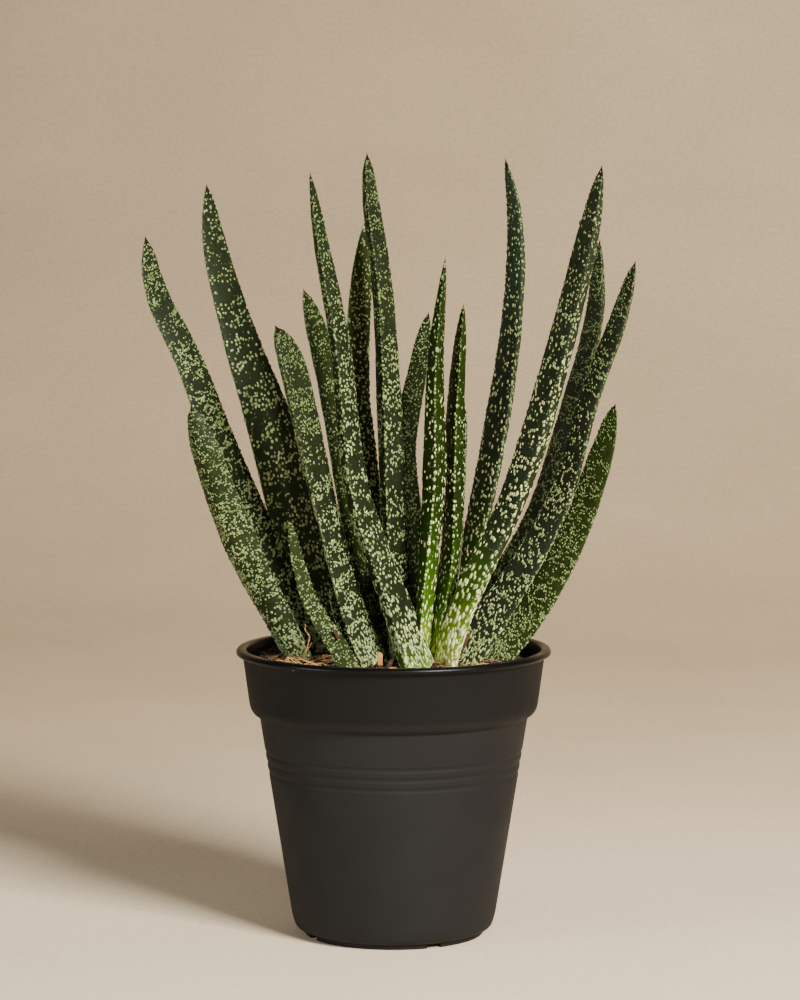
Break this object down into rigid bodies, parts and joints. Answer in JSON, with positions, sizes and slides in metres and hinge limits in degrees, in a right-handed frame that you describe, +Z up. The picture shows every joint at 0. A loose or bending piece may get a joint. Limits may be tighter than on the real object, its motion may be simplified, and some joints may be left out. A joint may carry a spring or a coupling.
{
  "type": "potted gasteria",
  "caption": "Small succulent with long upright keeled leaves, spotted white on dark green, growing from peat in a round plastic nursery pot with a rolled rim.",
  "frame": {"origin": "centre of the flat underside of the pot, on the pot's axis", "axes": "+Z up along the pot's axis; the plant's broad side faces -Y, and +X is to the right seen from there"},
  "size_m": [0.1862, 0.12, 0.298],
  "materials": {
    "pot_plastic": "fine matte, charcoal",
    "peat": "loose dark peat with bark fibres",
    "root": "dry, matt",
    "bark": "dry, matt",
    "leaf": "fleshy skin with a soft sheen and raised pale spots",
    "leaf_young": "fleshy skin with a soft sheen, bright green, large pale spots"
  },
  "bodies": {
    "root": {"pot": "pot_plastic", "soil": "peat", "rootstock": "root", "curled_root": "root", "withered_scale": "bark", "bark_splinter": "bark", "leaf_01": "leaf", "leaf_02": "leaf", "leaf_03": "leaf", "leaf_04": "leaf", "leaf_05": "leaf", "leaf_06": "leaf", "leaf_07": "leaf", "leaf_08": "leaf", "leaf_09": "leaf", "leaf_10": "leaf", "leaf_11": "leaf", "leaf_12": "leaf_young", "leaf_13": "leaf_young", "leaf_14": "leaf_young", "leaf_15": "leaf", "leaf_16": "leaf", "leaf_17": "leaf", "leaf_18": "leaf", "leaf_19": "leaf"}
  },
  "joints": []
}
